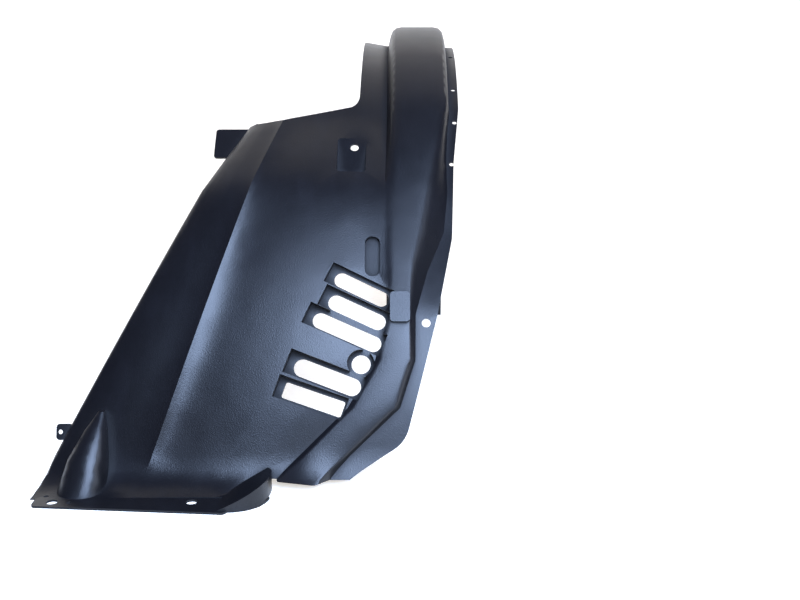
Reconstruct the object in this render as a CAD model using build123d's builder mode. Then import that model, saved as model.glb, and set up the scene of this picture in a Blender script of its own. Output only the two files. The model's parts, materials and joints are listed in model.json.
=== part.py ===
from build123d import *
import math
import os

# Front wheel arch liner, the inner mudguard of a car wing: one thin moulded shell that
# stands as an arch, convex side to the front.
# X points outboard and is 0 at the wing edge, -Y points to the front of the car and is 0
# at the wheel axis, Z points up and is 0 at the foot. All sizes are in millimetres.

WALL = 2.5

# Side profile: the arch round the wheel, the flatter front run and the toe above the foot.
AXLE_HEIGHT = 150.0
ARCH_RADIUS = 340.0
FRONT_RADIUS = 870.0
FRONT_TOP_ANGLE = 45.0
TOE_RADIUS = 45.0
TOE_SINK = 0.6
REAR_ANGLE = 180.0
NECK_ANGLE = 50.0
FRONT_STEPS = 8
TOE_STEPS = 4

# Heights at which the cross-section is set: stepped rim, plain waist, hat-shaped neck.
RIM_TOP = 170.0
WAIST = 270.0
NECK = 400.0

# Section depths from the profile at the rim, the waist and the neck.
FLANGE_LEVEL = (-6.0, -24.0, -28.0)
SHOULDER_LEVEL = (5.0, -3.0, 0.0)
BAND_LEVEL = (5.0, 0.0, 0.0)
STEP_LEVEL = (0.0, -1.0, -1.0)
WALL_RUN = (5.0, 25.0, 2.0)
STEP_RUN = (5.0, 8.0, 6.0)

# Length of each rounded corner along its legs, at the rim, the waist and the neck.
SHOULDER_ROUND = (4.0, 8.0, 13.0)
BAND_ROUND = (3.0, 4.0, 12.0)
ROLL_ROUND = 10.0
ROUND_STEPS = 3

# Panel: crown, raised ridge and the inboard side that rolls back into a return wall.
CROWN = 5.0
CROWN_STEPS = 4
RIDGE_CREST = 3.0
RIDGE_HALF = 7.0
ROLL_DROP = 14.0
ROLL_STEPS = 3
TOE_RELIEF = 0.08
RETURN_DEPTH = 22.0
RETURN_DRAFT = 2.0
RIDGE_TOP = (-222.0, 371.0)
RIDGE_SLOPE = 0.35
SIDE_TOP = (-293.0, 333.0)
SIDE_SLOPE = 0.53
PANEL_FALL = 25.0
PANEL_FALL_START = 305.0

# Lines of the rim: each runs straight down, bends on an arc and leaves at RIM_LEAN.
RIM_LEAN = 48.0
BAND_LINE = (-82.0, 195.0, 170.0)
SHOULDER_LINE = (-60.0, 125.0, 60.0)
SHOULDER_FLARE = (215.0, 0.25)
SHOULDER_TOP = -14.0
FLANGE_OVER = 10.0
CORE_DEPTH = 80.0
CORE_SLANT = 40.0

# Foot: flange on the floor, raised lip at its outboard end, cup wall below the lip.
FLANGE_FRONT = 533.0
FLANGE_SKEW = 18.0
FLANGE_END = -456.0
LIP = ((-214.0, 14.0), (-150.0, 10.0))
CUP_CENTRE = (-250.0, -486.0)
CUP_RADIUS = 42.0
CUP_TAIL = 40.0
CUP_HEIGHT = 27.0
CUP_SLOPE = 25.0
FOOT_HOLE_RADIUS = 6.0
FOOT_HOLES = ((-436.0, -505.0), (-290.0, -505.0))
PIN_HOLE_RADIUS = 3.0
PIN_HOLES = ((-447.0, -490.0), (-418.0, -507.0))
GUSSET = ((-414.0, -473.0, -1.0, 27.0), (-408.0, -461.0, 34.0, 21.5), (-401.0, -449.0, 62.0, 12.0), (-396.0, -440.0, 80.0, 3.5))

# Outlines in the front view (x, z), each with one corner radius.
WING_EDGE = ((0.0, 390.0), (-8.0, 330.0), (-12.0, 250.0), (-31.0, 173.0), (-66.0, 46.0), (-160.0, -10.0))
WING_EDGE_RADIUS = 36.0
NECK_EDGE = -114.0
PANEL_TOP = ((-122.0, 394.0), (-246.0, 372.0), (-300.0, 352.0))
PANEL_TOP_RADIUS = 14.0
REAR_EDGE = ((-114.0, 300.0), (-96.0, 160.0), (-96.0, -1.0))
REAR_EDGE_RADIUS = 30.0
REACH = 700.0

# Vents: sloping slots in one stepped recess, each (x, up the panel, length, width, slope).
VENT_ANGLE = 25.0
VENT_DEPTH = 10.5
VENTS = (
    (-115.0, 68.5, 66.0, 17.0, -26.0),
    (-120.0, 42.5, 69.0, 18.0, -25.0),
    (-131.0, 20.0, 82.0, 18.0, -24.0),
    (-152.0, -30.5, 78.0, 20.0, -21.0),
    (-167.0, -55.0, 69.0, 18.0, -19.0),
)
VENT_HOLE = (-115.0, -16.0, 10.5)
RECESS_LEFT = 8.0
RECESS_RIGHT = 3.0
RECESS_ABOVE = 4.5
RECESS_BELOW = 3.0

# Screw pocket by the neck, dimple in the band: (angle, x, length up, width, depth, corner).
SCREW_POCKET = (41.0, -129.0, 56.0, 34.0, 14.0, 5.0)
SCREW_HOLE = (-126.0, 15.0, 5.0)
DIMPLE = (32.0, -103.0, 48.0, 17.0, 6.0, 8.0)
SLOT_CORNER = 2.5

# Ears on the inboard side: (angle, level below the profile, x from, x to, half length).
EAR = (44.1, 48.0, -299.0, -246.0, 22.0)
TAB = (19.0, 26.0, -452.0, -434.0, 9.0)
EAR_RADIUS = 4.0
TAB_HOLE_RADIUS = 2.6

# Clip holes along the wing flange.
CLIP_RADIUS = 3.0
CLIP_X = -5.5
CLIP_ANGLES = (46.0, 57.0, 74.0, 91.0, 108.0, 125.0, 142.0, 159.0)
REAR_CLIP_HEIGHTS = (130.0, 60.0)
WAIST_CLIP = (41.0, -10.5)
RIM_CLIP = (27.0, -43.0)
RIM_CLIP_RADIUS = 5.0

# Block on the band where the wing flange passes into the rim: (angle, x, length up, width).
BLOCK = (28.0, -72.0, 34.0, 22.0)
BLOCK_TOP = 9.0

# Rear foot: flange turned out behind the leg.
REAR_FOOT = (312.0, 368.0)
REAR_HOLES = ((-76.0, 353.0), (-20.0, 353.0))


def normal(angle):
    """Unit normal (y, z) of the profile at an angle above the horizontal."""
    return -math.cos(math.radians(angle)), math.sin(math.radians(angle))


SPAN = FRONT_RADIUS - ARCH_RADIUS
FRONT_Y = -SPAN * normal(FRONT_TOP_ANGLE)[0]
FRONT_Z = AXLE_HEIGHT - SPAN * normal(FRONT_TOP_ANGLE)[1]
TOE_Z = WALL - TOE_SINK + TOE_RADIUS
TOE_Y = FRONT_Y - math.sqrt((FRONT_RADIUS + TOE_RADIUS) ** 2 - (TOE_Z - FRONT_Z) ** 2)
TOE_ANGLE = math.degrees(math.atan2(TOE_Z - FRONT_Z, FRONT_Y - TOE_Y))


def on_front(angle):
    ny, nz = normal(angle)
    return FRONT_Y + FRONT_RADIUS * ny, FRONT_Z + FRONT_RADIUS * nz, angle


def on_arch(angle):
    ny, nz = normal(angle)
    return ARCH_RADIUS * ny, AXLE_HEIGHT + ARCH_RADIUS * nz, angle


def on_toe(angle):
    ny, nz = normal(angle)
    return TOE_Y - TOE_RADIUS * ny, TOE_Z - TOE_RADIUS * nz, angle


def on_foot(y):
    return y, TOE_Z - TOE_RADIUS, 90.0


def spread(start, stop, count):
    return [start + (stop - start) * i / count for i in range(count + 1)]


STATIONS = (
    [on_foot(-FLANGE_FRONT - FLANGE_OVER)]
    + [on_toe(a) for a in spread(90, TOE_ANGLE, TOE_STEPS)]
    + [on_front(a) for a in spread(TOE_ANGLE, FRONT_TOP_ANGLE, FRONT_STEPS)[1:]]
    + [on_arch(a) for a in spread(FRONT_TOP_ANGLE, NECK_ANGLE, 2)[1:]]
)


def ease(value):
    value = min(max(value, 0.0), 1.0)
    return value * value * (3 - 2 * value)


def along(z, levels):
    """Value at a height, eased from the rim to the waist and on to the neck."""
    rim, waist, neck = levels
    if z < WAIST:
        return rim + (waist - rim) * ease((z - RIM_TOP) / (WAIST - RIM_TOP))
    return waist + (neck - waist) * ease((z - WAIST) / (NECK - WAIST))


def rim_line(z, line):
    """X of a rim line at a height: straight, then an arc, then a run at RIM_LEAN."""
    x, bend, radius = line
    lean = math.radians(RIM_LEAN)
    drop = max(bend - z, 0.0)
    reach = radius * math.sin(lean)
    turned = math.asin(min(drop, reach) / radius)
    return x - radius * (1 - math.cos(turned)) - max(drop - reach, 0.0) * math.tan(lean)


def shoulder_x(z):
    start, slope = SHOULDER_FLARE
    return min(rim_line(z, SHOULDER_LINE) + slope * max(z - start, 0.0), SHOULDER_TOP)


def skin(station):
    """Points of the section at a station, outboard to inboard."""
    y, z, angle = station
    toe = ease((angle - TOE_ANGLE) / (90 - TOE_ANGLE)) if y < on_front(TOE_ANGLE)[0] else 0.0
    fall = -PANEL_FALL * ease((z - PANEL_FALL_START) / (NECK - PANEL_FALL_START))
    shoulder, band = shoulder_x(z), rim_line(z, BAND_LINE)
    step = band - along(z, STEP_RUN)
    ridge = RIDGE_TOP[0] - RIDGE_SLOPE * (RIDGE_TOP[1] - z)
    side = SIDE_TOP[0] - SIDE_SLOPE * (SIDE_TOP[1] - z)
    relief = 1 - (1 - TOE_RELIEF) * toe
    roll = ROLL_DROP * relief
    flange, top = along(z, FLANGE_LEVEL), ridge + RIDGE_HALF
    corners = [
        (FLANGE_OVER, flange, 0),
        (shoulder + along(z, WALL_RUN), flange, 0),
        (shoulder, along(z, SHOULDER_LEVEL), along(z, SHOULDER_ROUND)),
        (band, along(z, BAND_LEVEL), along(z, BAND_ROUND)),
        (step, along(z, STEP_LEVEL) + fall, 0),
    ]
    for part in spread(0, 1, CROWN_STEPS)[1:]:
        corners.append((step + (top - step) * part, fall + 4 * CROWN * relief * part * (1 - part), 0))
    corners.append((ridge, fall + RIDGE_CREST * relief, 0))
    for part in spread(0, 1, ROLL_STEPS):
        x = ridge - RIDGE_HALF + (side - ridge + RIDGE_HALF) * part
        corners.append((x, fall - roll * part * part, ROLL_ROUND if part == 1 else 0))
    corners.append((side - RETURN_DRAFT, fall - roll - RETURN_DEPTH, 0))
    return rounded(corners)


def rounded(corners):
    """Corner points, with each corner that has a length rounded off over it."""
    points = []
    for before, (x, y, length), after in zip(corners[:1] + corners, corners, corners[1:] + corners[-1:]):
        if not length:
            points.append((x, y))
            continue
        start, end = ((Vector(x, y) + (Vector(*leg[:2]) - Vector(x, y)).normalized() * length)
                      for leg in (before, after))
        for part in spread(0, 1, ROUND_STEPS):
            point = start * (1 - part) ** 2 + Vector(x, y) * (2 * part * (1 - part)) + end * part**2
            points.append((point.X, point.Y))
    return points


def parallel(points, inset):
    """The same line of points moved inwards by inset."""
    normals = []
    for (xa, ya), (xb, yb) in zip(points, points[1:]):
        length = math.hypot(xb - xa, yb - ya)
        normals.append(((ya - yb) / length, (xb - xa) / length))
    moved = []
    for (x, y), (xa, ya), (xb, yb) in zip(points, normals[:1] + normals, normals + normals[-1:]):
        scale = inset / (1 + xa * xb + ya * yb)
        moved.append((x + (xa + xb) * scale, y + (ya + yb) * scale))
    return moved


def section_plane(station):
    y, z, angle = station
    ny, nz = normal(angle)
    return Plane(origin=(0, y, z), x_dir=(1, 0, 0), z_dir=(0, -nz, ny))


def section(station):
    """Closed section of the wall at a station."""
    points = skin(station)
    with BuildSketch(section_plane(station)) as sketch:
        with BuildLine():
            Polyline(*points, *reversed(parallel(points, WALL)), close=True)
        make_face()
    return sketch.sketch


def core_section(station):
    """Closed section of all that lies below the middle of the wall at a station."""
    points = parallel(skin(station), WALL / 2)
    with BuildSketch(section_plane(station)) as sketch:
        with BuildLine():
            Polyline(*points, (points[-1][0] + CORE_SLANT, -CORE_DEPTH), (points[0][0], -CORE_DEPTH), close=True)
        make_face()
    return sketch.sketch


def face_plane(station, level=0.0):
    """Plane that touches the profile at a station, facing outwards, moved out by level."""
    y, z, angle = station
    ny, nz = normal(angle)
    return Plane(origin=(0, y, z), x_dir=(1, 0, 0), z_dir=(0, ny, nz)).offset(level)


def front_prism(outline, radius, y_from, y_to):
    """Prism along Y over an outline in the front view."""
    with BuildPart() as prism:
        with BuildSketch(Plane.XZ.offset(-y_to)):
            with BuildLine():
                FilletPolyline(*outline[:-2], radius=radius)
                Polyline(outline[-3], outline[-2], outline[-1], outline[0])
            make_face()
        extrude(amount=y_to - y_from)
    return prism.part


def recess_outline(grow):
    """Stepped outline of the vent recess, grown on every side."""
    with BuildSketch() as outline:
        for x, up, length, width, slope in VENTS:
            with Locations(Location((x, up, 0), (0, 0, slope))):
                with Locations(((RECESS_RIGHT - RECESS_LEFT) / 2, (RECESS_ABOVE - RECESS_BELOW) / 2)):
                    Rectangle(
                        length + RECESS_LEFT + RECESS_RIGHT + 2 * grow,
                        width + RECESS_ABOVE + RECESS_BELOW + 2 * grow,
                    )
        with Locations(VENT_HOLE[:2]):
            Circle(VENT_HOLE[2] + RECESS_ABOVE + grow)
    return outline.sketch


def pocket_outline(pocket, grow):
    with BuildSketch() as outline:
        with Locations((pocket[1], 0)):
            RectangleRounded(pocket[3] + 2 * grow, pocket[2] + 2 * grow, pocket[5] + grow)
    return outline.sketch


def space_above(plane, outline, depth):
    with BuildPart() as space:
        with BuildSketch(plane.offset(-depth)):
            add(outline)
        extrude(amount=depth + CORE_DEPTH)
    return space.part


def ear_plate(ear):
    angle, level, x_from, x_to, half = ear
    with BuildPart() as plate:
        with BuildSketch(face_plane(on_front(angle), -level)):
            with Locations(((x_from + x_to) / 2, 0)):
                RectangleRounded(x_to - x_from, 2 * half, EAR_RADIUS)
        extrude(amount=WALL)
    return plate.part


def gusset(shrink):
    """Rounded gusset that leans back into the panel, from circles (x, y, z, radius)."""
    with BuildPart() as body:
        for x, y, z, radius in GUSSET:
            with BuildSketch(Plane.XY.offset(z - shrink)):
                with Locations((x, y)):
                    Circle(radius - shrink)
        loft(ruled=True)
    return body.part


def cup(shrink):
    """Round-ended wedge whose top runs down to the foot flange."""
    with BuildPart() as body:
        with BuildSketch(Plane.XY.offset(-1)):
            with Locations((CUP_CENTRE[0] - CUP_TAIL / 2, CUP_CENTRE[1])):
                SlotCenterToCenter(CUP_TAIL, 2 * (CUP_RADIUS - shrink))
        extrude(amount=CUP_HEIGHT + CUP_RADIUS)
        top = Plane(origin=(CUP_CENTRE[0] + CUP_RADIUS, 0, CUP_HEIGHT - shrink)).rotated((0, -CUP_SLOPE, 0))
        split(bisect_by=top, keep=Keep.BOTTOM)
    return body.part


with BuildPart() as core:
    for station in STATIONS:
        add(core_section(station))
    loft(ruled=True)

vent_plane = face_plane(on_front(VENT_ANGLE))
pockets = [(vent_plane, recess_outline(0), recess_outline(WALL), VENT_DEPTH)]
for pocket in (SCREW_POCKET, DIMPLE):
    plane = face_plane(on_front(pocket[0]))
    pockets.append((plane, pocket_outline(pocket, 0), pocket_outline(pocket, WALL), pocket[4]))

with BuildPart() as spaces:
    for plane, opening, grown, depth in pockets:
        add(space_above(plane, opening, depth))
    add(gusset(WALL))
    add(cup(WALL))

with BuildPart() as trays:
    for plane, opening, grown, depth in pockets:
        add(space_above(plane, grown, depth + WALL))
    add(spaces.part, mode=Mode.SUBTRACT)
    add(core.part, mode=Mode.INTERSECT)

with BuildPart() as foot_forms:
    add(gusset(0))
    add(cup(0))
    add(spaces.part, mode=Mode.SUBTRACT)
    add(core.part, mode=Mode.SUBTRACT)

foot_back = TOE_Y + math.sqrt((TOE_RADIUS + WALL) ** 2 - TOE_Z**2) - 0.5
with BuildPart() as foot:
    with BuildSketch():
        with BuildLine():
            FilletPolyline(
                (FLANGE_END, foot_back),
                (FLANGE_END, -FLANGE_FRONT + FLANGE_SKEW),
                (CUP_CENTRE[0], -FLANGE_FRONT),
                (CUP_CENTRE[0], foot_back),
                radius=6,
                close=True,
            )
        make_face()
        with Locations(CUP_CENTRE):
            Circle(CUP_RADIUS - WALL / 2, mode=Mode.ADD)
        with Locations((CUP_CENTRE[0], foot_back + REACH / 2)):
            Rectangle(REACH, REACH, mode=Mode.SUBTRACT)
    extrude(amount=WALL)

with BuildPart() as rear_foot:
    with BuildSketch():
        with Locations((REAR_EDGE[-1][0] / 2, (REAR_FOOT[0] + REAR_FOOT[1]) / 2)):
            RectangleRounded(-REAR_EDGE[-1][0], REAR_FOOT[1] - REAR_FOOT[0], EAR_RADIUS)
    extrude(amount=WALL)

# Slots, screw hole, clip holes and fixing holes.
with BuildPart() as holes:
    with BuildSketch(vent_plane.offset(-CORE_DEPTH / 2)):
        for x, up, length, width, slope in VENTS[:-1]:
            with Locations(Location((x, up, 0), (0, 0, slope))):
                SlotOverall(length, width)
        x, up, length, width, slope = VENTS[-1]
        with Locations(Location((x, up, 0), (0, 0, slope))):
            RectangleRounded(length, width, SLOT_CORNER)
        with Locations(VENT_HOLE[:2]):
            Circle(VENT_HOLE[2])
    extrude(amount=CORE_DEPTH)
    with BuildSketch(face_plane(on_front(SCREW_POCKET[0]), -CORE_DEPTH)):
        with Locations(SCREW_HOLE[:2]):
            Circle(SCREW_HOLE[2])
    extrude(amount=CORE_DEPTH)
    clips = [(on_arch(angle), CLIP_X, CLIP_RADIUS) for angle in CLIP_ANGLES]
    clips += [((ARCH_RADIUS, height, REAR_ANGLE), CLIP_X, CLIP_RADIUS) for height in REAR_CLIP_HEIGHTS]
    clips.append((on_front(WAIST_CLIP[0]), WAIST_CLIP[1], CLIP_RADIUS))
    clips.append((on_front(RIM_CLIP[0]), RIM_CLIP[1], RIM_CLIP_RADIUS))
    clips.append((on_front(TAB[0]), TAB[2] + TAB[4] / 2, TAB_HOLE_RADIUS))
    for station, x, radius in clips:
        with BuildSketch(face_plane(station, -CORE_DEPTH)):
            with Locations((x, 0)):
                Circle(radius)
        extrude(amount=CORE_DEPTH)
    with BuildSketch():
        with Locations(*FOOT_HOLES, *REAR_HOLES):
            Circle(FOOT_HOLE_RADIUS)
        with Locations(*PIN_HOLES):
            Circle(PIN_HOLE_RADIUS)
    extrude(amount=WALL)

with BuildPart() as liner:
    for station in STATIONS:
        add(section(station))
    loft(ruled=True)
    add(section(STATIONS[-1]))
    revolve(axis=Axis((0, 0, AXLE_HEIGHT), (1, 0, 0)), revolution_arc=NECK_ANGLE - REAR_ANGLE)
    extrude(liner.faces().filter_by(Plane.XY).sort_by(Axis.Y)[-1], amount=AXLE_HEIGHT, dir=(0, 0, -1))
    add(spaces.part, mode=Mode.SUBTRACT)
    add(trays.part)

    # Edges of the moulding: wing side, neck and panel top, rear leg, lip and floor.
    add(front_prism(((0, REACH), *WING_EDGE, (REACH, -REACH), (REACH, REACH)), WING_EDGE_RADIUS, -REACH, 0),
        mode=Mode.SUBTRACT)
    with BuildSketch(Plane.YZ):
        Rectangle(3 * REACH, 3 * REACH)
    extrude(amount=FLANGE_OVER * 2, mode=Mode.SUBTRACT)
    add(front_prism(((NECK_EDGE, REACH), *PANEL_TOP, (-REACH, PANEL_TOP[-1][1]), (-REACH, REACH)),
                    PANEL_TOP_RADIUS, -REACH, 0), mode=Mode.SUBTRACT)
    add(front_prism(((NECK_EDGE, REACH), *REAR_EDGE, (-REACH, 0), (-REACH, REACH)), REAR_EDGE_RADIUS, 0, REACH),
        mode=Mode.SUBTRACT)
    add(front_prism((*LIP, (REACH, LIP[1][1]), (REACH, -REACH), (LIP[0][0], -REACH)), 0, -REACH, 0),
        mode=Mode.SUBTRACT)
    with BuildSketch(Plane.XZ.offset(WALL - foot_back)):
        Rectangle(3 * REACH, 3 * REACH)
    extrude(amount=REACH, mode=Mode.SUBTRACT)
    with BuildSketch():
        Rectangle(3 * REACH, 3 * REACH)
    extrude(amount=-CORE_DEPTH, mode=Mode.SUBTRACT)

    add(foot_forms.part)
    add(foot.part)
    add(rear_foot.part)
    add(ear_plate(EAR))
    add(ear_plate(TAB))
    with BuildSketch(face_plane(on_front(BLOCK[0]))):
        with Locations((BLOCK[1], 0)):
            RectangleRounded(BLOCK[3], BLOCK[2], EAR_RADIUS)
    extrude(amount=BLOCK_TOP)

    add(holes.part, mode=Mode.SUBTRACT)

box = liner.part.bounding_box()
with BuildPart() as wheel_arch_liner:
    with Locations((-box.center().X, -box.center().Y, -box.min.Z)):
        add(liner.part)

wheel_arch_liner.part.label = "wheel_arch_liner"
os.makedirs("parts", exist_ok=True)
export_step(wheel_arch_liner.part, "parts/wheel_arch_liner.step")
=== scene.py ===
"""Studio scene for the wheel arch liner: its moulded finish, the light and the camera."""

import json
import logging
import math
from dataclasses import dataclass, field
from enum import Enum
from typing import Any

import bmesh
import bpy
import numpy as np
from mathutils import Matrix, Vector

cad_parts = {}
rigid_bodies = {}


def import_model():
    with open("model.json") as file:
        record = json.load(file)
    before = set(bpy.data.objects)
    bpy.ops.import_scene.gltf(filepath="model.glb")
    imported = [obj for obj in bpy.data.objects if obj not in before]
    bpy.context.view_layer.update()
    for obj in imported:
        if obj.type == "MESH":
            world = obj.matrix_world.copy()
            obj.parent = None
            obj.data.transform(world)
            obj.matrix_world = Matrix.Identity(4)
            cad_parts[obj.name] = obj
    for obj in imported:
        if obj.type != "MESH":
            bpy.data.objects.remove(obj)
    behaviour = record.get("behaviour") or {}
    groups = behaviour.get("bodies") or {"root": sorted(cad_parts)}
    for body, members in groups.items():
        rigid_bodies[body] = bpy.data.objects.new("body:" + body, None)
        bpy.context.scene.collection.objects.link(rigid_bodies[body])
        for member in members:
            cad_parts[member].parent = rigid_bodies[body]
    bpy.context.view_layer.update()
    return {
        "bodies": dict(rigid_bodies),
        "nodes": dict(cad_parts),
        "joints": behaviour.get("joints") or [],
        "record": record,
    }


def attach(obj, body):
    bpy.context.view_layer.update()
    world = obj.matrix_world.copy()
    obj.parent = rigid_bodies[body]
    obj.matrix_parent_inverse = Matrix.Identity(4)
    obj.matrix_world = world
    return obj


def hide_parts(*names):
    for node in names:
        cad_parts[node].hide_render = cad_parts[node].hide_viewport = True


LOG = logging.getLogger("liner_scene")
SRGB_KNEE, SRGB_SLOPE, SRGB_LIFT, SRGB_POWER = 0.04045, 12.92, 0.055, 2.4
TINY = 1e-30  # added to a length that something is divided by

Span = tuple[float, float]
Place = tuple[float, float, float]
Socket = bpy.types.NodeSocket
Tree = bpy.types.NodeTree


class Node(Enum):
    """Shader nodes that a finish is made of, by Blender's names for them."""

    COORDINATES = "ShaderNodeTexCoord"
    MAPPING = "ShaderNodeMapping"
    NOISE = "ShaderNodeTexNoise"
    CELLS = "ShaderNodeTexVoronoi"
    SEPARATE = "ShaderNodeSeparateXYZ"
    MAP_RANGE = "ShaderNodeMapRange"
    MATH = "ShaderNodeMath"
    MIX = "ShaderNodeMix"
    OCCLUSION = "ShaderNodeAmbientOcclusion"
    BUMP = "ShaderNodeBump"
    PRINCIPLED = "ShaderNodeBsdfPrincipled"
    OUTPUT = "ShaderNodeOutputMaterial"


def linear(hex_code: str) -> tuple[float, float, float, float]:
    """Turn an sRGB colour into the linear values that shaders take.

    Args:
        hex_code: Colour as "#rrggbb".

    Returns:
        Linear red, green, blue and an alpha of one.
    """
    parts = [int(hex_code[i:i + 2], 16) / 255 for i in (1, 3, 5)]
    r, g, b = (c / SRGB_SLOPE if c <= SRGB_KNEE
               else ((c + SRGB_LIFT) / (1 + SRGB_LIFT)) ** SRGB_POWER for c in parts)
    return r, g, b, 1.0


def unit(vectors: np.ndarray) -> np.ndarray:
    """Scale each row to a length of one."""
    return vectors / (np.linalg.norm(vectors, axis=1, keepdims=True) + TINY)


def add_node(tree: Tree, kind: Node, inputs: dict[Any, Any] | None = None,
             **settings: Any) -> bpy.types.Node:
    """Add one shader node.

    Args:
        tree: Node tree that takes the node.
        kind: Type of the node.
        inputs: Socket name or number to a value, or to an output socket that is linked.
        settings: Properties of the node.

    Returns:
        The new node.
    """
    node = tree.nodes.new(kind.value)
    for name, value in settings.items():
        setattr(node, name, value)
    for name, value in (inputs or {}).items():
        if isinstance(value, Socket):
            tree.links.new(value, node.inputs[name])
        else:
            node.inputs[name].default_value = value
    return node


def map_range(tree: Tree, value: Socket, span: Span, results: tuple[Any, Any]) -> Socket:
    """Map a span of values to a range of results, and hold the results at its ends.

    Args:
        tree: Node tree that takes the node.
        value: Socket with the value.
        span: Values at the two ends.
        results: Results at the two ends, each a number or a socket.

    Returns:
        Socket with the result.
    """
    return add_node(tree, Node.MAP_RANGE, {
        "Value": value, "From Min": span[0], "From Max": span[1],
        "To Min": results[0], "To Max": results[1]}).outputs["Result"]


def mix_colours(tree: Tree, factor: Socket, first: Any, second: Any) -> Socket:
    """Mix two colours.

    Args:
        tree: Node tree that takes the node.
        factor: Socket with the second colour's share.
        first: Linear colour, or a socket with one.
        second: Linear colour, or a socket with one.

    Returns:
        Socket with the mixed colour.
    """
    return add_node(tree, Node.MIX, {"Factor": factor, "A": first, "B": second},
                    data_type="RGBA").outputs["Result"]


@dataclass(frozen=True)
class MouldedBlack:
    """Finish of black polypropylene with a fine moulded grain.

    Lengths are in metres, on the part. A span holds the two values between which a mark
    comes up from none to the most.
    """

    name: str = "moulded_black"
    base: str = "#08080b"
    rubbed: str = "#121216"
    dust: str = "#34343a"
    ior: float = 1.49
    specular: float = 0.34
    roughness: Span = (0.30, 0.37)
    cloud_size: float = 0.09
    cloud_detail: float = 5.0
    cloud_roughness: float = 0.6
    cloud_span: Span = (0.3, 0.7)
    smears_per_metre: float = 60.0
    smear_stretch: Place = (1.0, 0.25, 0.25)
    smear_detail: float = 4.0
    rub_span: Span = (0.52, 0.75)
    rub_most: float = 0.35
    dust_span: Span = (0.35, 1.0)
    dust_most: float = 0.15
    # painted shade: ambient occlusion within this reach raises the roughness in hollows and
    # recesses, so they look darker
    painted_shade_reach: float = 0.014
    painted_shade_span: Span = (0.45, 0.9)
    painted_shade_roughness: float = 0.75
    painted_shade_samples: int = 8
    ripple_size: float = 0.035
    ripple_depth: float = 0.0009
    ripple_strength: float = 0.35
    ripple_detail: float = 1.0
    grain_size: float = 0.0011
    grain_depth: float = 0.00022
    grain_strength: float = 0.5

    def make(self) -> bpy.types.Material:
        """Build the material.

        Returns:
            Procedural material in object coordinates.
        """
        material = bpy.data.materials.new(self.name)
        material.use_nodes = True
        tree = material.node_tree
        tree.nodes.clear()
        place = add_node(tree, Node.COORDINATES).outputs["Object"]
        clouds = add_node(tree, Node.NOISE, {
            "Vector": place, "Scale": 1 / self.cloud_size,
            "Detail": self.cloud_detail, "Roughness": self.cloud_roughness}).outputs["Fac"]
        shader = add_node(tree, Node.PRINCIPLED, {
            "Base Color": self._colour(tree, place, clouds),
            "Roughness": self._roughness(tree, clouds),
            "Normal": self._relief(tree, place),
            "IOR": self.ior, "Specular IOR Level": self.specular})
        add_node(tree, Node.OUTPUT, {"Surface": shader.outputs["BSDF"]})
        return material

    def _colour(self, tree: Tree, place: Socket, clouds: Socket) -> Socket:
        """Lay rub marks over the base colour, and dust where the skin faces up.

        Args:
            tree: Node tree of the material.
            place: Socket with the place on the part.
            clouds: Socket with wide soft patches.

        Returns:
            Socket with the colour.
        """
        stretched = add_node(tree, Node.MAPPING, {"Vector": place, "Scale": self.smear_stretch})
        smears = add_node(tree, Node.NOISE, {
            "Vector": stretched.outputs["Vector"], "Scale": self.smears_per_metre,
            "Detail": self.smear_detail})
        rubs = map_range(tree, smears.outputs["Fac"], self.rub_span, (0.0, self.rub_most))
        facing = add_node(tree, Node.COORDINATES).outputs["Normal"]
        upward = add_node(tree, Node.SEPARATE, {"Vector": facing}).outputs["Z"]
        settled = map_range(tree, upward, self.dust_span, (0.0, self.dust_most))
        dusty = add_node(tree, Node.MATH, {0: settled, 1: clouds}, operation="MULTIPLY")
        bare = mix_colours(tree, rubs, linear(self.base), linear(self.rubbed))
        return mix_colours(tree, dusty.outputs["Value"], bare, linear(self.dust))

    def _roughness(self, tree: Tree, clouds: Socket) -> Socket:
        """Vary the sheen in wide patches, and dull it in the hollows and corners by ambient
        occlusion: painted shade.

        Args:
            tree: Node tree of the material.
            clouds: Socket with wide soft patches.

        Returns:
            Socket with the roughness.
        """
        sheen = map_range(tree, clouds, self.cloud_span, self.roughness)
        # painted shade: the less open a spot is, the rougher and duller it is made
        open_air = add_node(tree, Node.OCCLUSION, {"Distance": self.painted_shade_reach},
                            samples=self.painted_shade_samples).outputs["AO"]
        return map_range(tree, open_air, self.painted_shade_span, (self.painted_shade_roughness, sheen))

    def _relief(self, tree: Tree, place: Socket) -> Socket:
        """Lay the moulded grain over the slow ripple of a thin wall.

        Args:
            tree: Node tree of the material.
            place: Socket with the place on the part.

        Returns:
            Socket with the normal.
        """
        ripple = add_node(tree, Node.NOISE, {
            "Vector": place, "Scale": 1 / self.ripple_size, "Detail": self.ripple_detail})
        grain = add_node(tree, Node.CELLS, {
            "Vector": place, "Scale": 1 / self.grain_size}, feature="SMOOTH_F1")
        waved = add_node(tree, Node.BUMP, {
            "Height": ripple.outputs["Fac"], "Strength": self.ripple_strength,
            "Distance": self.ripple_depth})
        return add_node(tree, Node.BUMP, {
            "Height": grain.outputs["Distance"], "Strength": self.grain_strength,
            "Distance": self.grain_depth,
            "Normal": waved.outputs["Normal"]}).outputs["Normal"]


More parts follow.
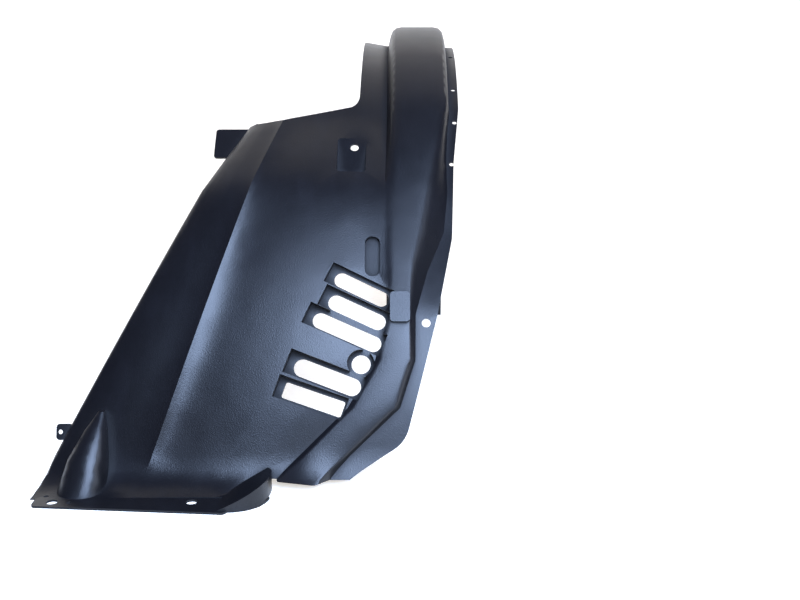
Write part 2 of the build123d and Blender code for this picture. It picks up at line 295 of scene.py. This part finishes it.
@dataclass
class LinerShell:
    """The moulded liner: the CAD shell with its faces merged and shaded as one smooth skin.

    Lengths are in metres.
    """

    node: str
    body: str
    slot: str
    finish: MouldedBlack
    weld: float = 2e-5
    crease_deg: float = 38.0
    longest_edge: float = 0.011
    refine_rounds: int = 6
    even_rounds: int = 12
    even_deg: float = 24.0

    def build(self, frame: dict[str, Any]) -> bpy.types.Object:
        """Make the shell and hide the CAD node that it stands for.


        Returns:
            The shell object.
        """
        mesh = self._welded(frame["nodes"][self.node].data)
        shell = bpy.data.objects.new("liner_shell", mesh)
        bpy.context.scene.collection.objects.link(shell)
        mesh.materials.clear()
        mesh.materials.append(self.finish.make())
        mesh.shade_smooth()
        mesh.set_sharp_from_angle(angle=math.radians(self.crease_deg))
        mesh.normals_split_custom_set(self._even_normals(mesh))
        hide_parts(self.node)
        LOG.info("shell has %d faces", len(mesh.polygons))
        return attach(shell, self.body)

    def _welded(self, source: bpy.types.Mesh) -> bpy.types.Mesh:
        """Copy the CAD mesh with its faces joined, its long edges divided and no set normals.

        Args:
            source: Mesh of the CAD node.

        Returns:
            The new mesh.
        """
        mesh = source.copy()
        mesh.name = "liner_shell"
        normals = mesh.attributes.get("custom_normal")
        if normals is not None:
            mesh.attributes.remove(normals)
        work = bmesh.new()
        work.from_mesh(mesh)
        bmesh.ops.remove_doubles(work, verts=work.verts, dist=self.weld)
        bmesh.ops.dissolve_degenerate(work, edges=work.edges, dist=self.weld)
        self._refine(work)
        work.to_mesh(mesh)
        work.free()
        return mesh

    def _refine(self, work: bmesh.types.BMesh) -> None:
        """Divide the long edges, so that shading runs evenly over the wide panels.

        Args:
            work: Welded mesh, changed in place.
        """
        for _ in range(self.refine_rounds):
            long_edges = [e for e in work.edges if e.calc_length() > self.longest_edge]
            if not long_edges:
                break
            bmesh.ops.subdivide_edges(work, edges=long_edges, cuts=1)
            bmesh.ops.triangulate(work, faces=[f for f in work.faces if len(f.verts) > 3])

    def _even_normals(self, mesh: bpy.types.Mesh) -> np.ndarray:
        """Even out the normals over each smooth region, and leave creases and beads alone.

        Args:
            mesh: Mesh with its sharp edges marked.

        Returns:
            One normal for each face corner.
        """
        split = bmesh.new()
        split.from_mesh(mesh)
        bmesh.ops.split_edges(split, edges=[e for e in split.edges if not e.smooth])
        split.verts.index_update()
        corners = np.array([[v.index for v in f.verts] for f in split.faces])
        links = np.array([[v.index for v in e.verts] for e in split.edges])
        places = np.array([v.co for v in split.verts])
        split.free()
        normals = self._weighted_normals(places, corners)
        close = math.cos(math.radians(self.even_deg))
        for _ in range(self.even_rounds):
            first, second = normals[links[:, 0]], normals[links[:, 1]]
            likeness = ((first * second).sum(axis=1) - close) / (1 - close)
            share = np.clip(likeness, 0.0, 1.0)[:, None]
            total = normals.copy()
            np.add.at(total, links[:, 0], second * share)
            np.add.at(total, links[:, 1], first * share)
            normals = unit(total)
        return normals[corners.ravel()]

    @staticmethod
    def _weighted_normals(places: np.ndarray, corners: np.ndarray) -> np.ndarray:
        """Find each vertex's normal, with every face weighted by its angle there.

        Args:
            places: Place of each vertex.
            corners: The three vertices of each triangle.

        Returns:
            One normal for each vertex.
        """
        points = places[corners]
        faces = unit(np.cross(points[:, 1] - points[:, 0], points[:, 2] - points[:, 0]))
        normals = np.zeros_like(places)
        for i in range(3):
            ahead = points[:, (i + 1) % 3] - points[:, i]
            behind = points[:, (i + 2) % 3] - points[:, i]
            lengths = np.linalg.norm(ahead, axis=1) * np.linalg.norm(behind, axis=1) + TINY
            cosines = (ahead * behind).sum(axis=1) / lengths
            angles = np.arccos(np.clip(cosines, -1.0, 1.0))
            np.add.at(normals, corners[:, i], faces * angles[:, None])
        return unit(normals)


@dataclass(frozen=True)
class SoftBox:
    """A soft rectangular studio light.

    Lengths are in metres.
    """

    name: str
    place: Place
    target: Place
    size: Span
    watts: float
    colour: str = "#ffffff"

    def build(self) -> bpy.types.Object:
        """Add the light to the scene.

        Returns:
            The light object.
        """
        data = bpy.data.lights.new(self.name, "AREA")
        data.shape = "RECTANGLE"
        data.size, data.size_y = self.size
        data.energy = self.watts
        data.color = linear(self.colour)[:3]
        light = bpy.data.objects.new(self.name, data)
        bpy.context.scene.collection.objects.link(light)
        light.location = self.place
        aim = Vector(self.target) - Vector(self.place)
        light.rotation_euler = aim.to_track_quat("-Z", "Y").to_euler()
        LOG.info("light %s has %.0f W", self.name, self.watts)
        return light


@dataclass
class Studio:
    """Pale floor that sweeps up into a backdrop, with the lights and the camera.

    Lengths are in metres, and the camera's lens and sensor in millimetres.
    """

    lights: list[SoftBox] = field(default_factory=list)
    paper_colour: str = "#fdf8ee"
    paper_glow: float = 0.45
    paper_roughness: float = 0.9
    paper_specular: float = 0.1
    half_width: float = 5.0
    near: float = -4.0
    far: float = 2.6
    bend: float = 0.8
    height: float = 4.0
    bend_steps: int = 12
    air_colour: str = "#cfd6ff"
    air_strength: float = 0.20
    camera_place: Place = (0.160, -1.4935, 0.4723)
    camera_down_deg: float = 13.29
    lens_mm: float = 49.5
    sensor_mm: float = 36.0

    def build(self) -> None:
        """Make the sweep, the lights, the ambient light and the camera."""
        self._sweep()
        for light in self.lights:
            light.build()
        self._ambient()
        self._camera()

    def _sweep(self) -> None:
        """Make the floor and backdrop as one curved sheet."""
        turns = [math.pi / 2 * i / self.bend_steps for i in range(self.bend_steps + 1)]
        bend = [(self.far + self.bend * math.sin(turn), self.bend * (1 - math.cos(turn)))
                for turn in turns]
        profile = [(self.near, 0.0), *bend, (self.far + self.bend, self.height)]
        work = bmesh.new()
        rows = [[work.verts.new((x, y, z)) for x in (-self.half_width, self.half_width)]
                for y, z in profile]
        for low, high in zip(rows, rows[1:]):
            work.faces.new((low[0], low[1], high[1], high[0]))
        mesh = bpy.data.meshes.new("sweep")
        work.to_mesh(mesh)
        work.free()
        mesh.shade_smooth()
        mesh.materials.append(self._paper())
        sweep = bpy.data.objects.new("sweep", mesh)
        bpy.context.scene.collection.objects.link(sweep)

    def _paper(self) -> bpy.types.Material:
        """Make the backdrop's pale, faintly glowing paper.

        Returns:
            The paper's material.
        """
        paper = bpy.data.materials.new("backdrop_paper")
        paper.use_nodes = True
        inputs = paper.node_tree.nodes["Principled BSDF"].inputs
        inputs["Base Color"].default_value = linear(self.paper_colour)
        inputs["Roughness"].default_value = self.paper_roughness
        inputs["Specular IOR Level"].default_value = self.paper_specular
        inputs["Emission Color"].default_value = linear(self.paper_colour)
        inputs["Emission Strength"].default_value = self.paper_glow
        return paper

    def _ambient(self) -> None:
        """Set a faint even light from all round."""
        world = bpy.data.worlds.new("studio_air")
        world.use_nodes = True
        air = world.node_tree.nodes["Background"]
        air.inputs["Color"].default_value = linear(self.air_colour)
        air.inputs["Strength"].default_value = self.air_strength
        bpy.context.scene.world = world

    def _camera(self) -> None:
        """Set the camera at the photograph's viewing angle, with colours shown as they are."""
        data = bpy.data.cameras.new("photo_camera")
        data.sensor_width = self.sensor_mm
        data.lens = self.lens_mm
        camera = bpy.data.objects.new("photo_camera", data)
        bpy.context.scene.collection.objects.link(camera)
        camera.location = self.camera_place
        camera.rotation_euler = (math.radians(90 - self.camera_down_deg), 0.0, 0.0)
        bpy.context.scene.camera = camera
        bpy.context.scene.view_settings.view_transform = "Standard"


def main() -> None:
    """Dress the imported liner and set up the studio."""
    logging.basicConfig(level=logging.INFO)
    for leftover in list(bpy.data.objects):
        bpy.data.objects.remove(leftover)
    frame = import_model()
    LinerShell("wheel_arch_liner", "root", "black_plastic", MouldedBlack()).build(frame)
    Studio(lights=[
        SoftBox("window", place=(0.58, -1.80, 1.26), target=(0.05, -0.30, 0.2),
                size=(1.45, 1.15), watts=145.0, colour="#bcd5ff"),
        SoftBox("side_strip", place=(1.9, -1.3, 0.9), target=(0.1, -0.35, 0.15),
                size=(0.4, 1.4), watts=16.0, colour="#e4ecff"),
        SoftBox("back_fill", place=(0.0, 1.9, 3.4), target=(0.0, 1.2, 0.0),
                size=(5.0, 3.2), watts=40.0, colour="#fff8f0"),
    ]).build()


if __name__ == "__main__":
    main()
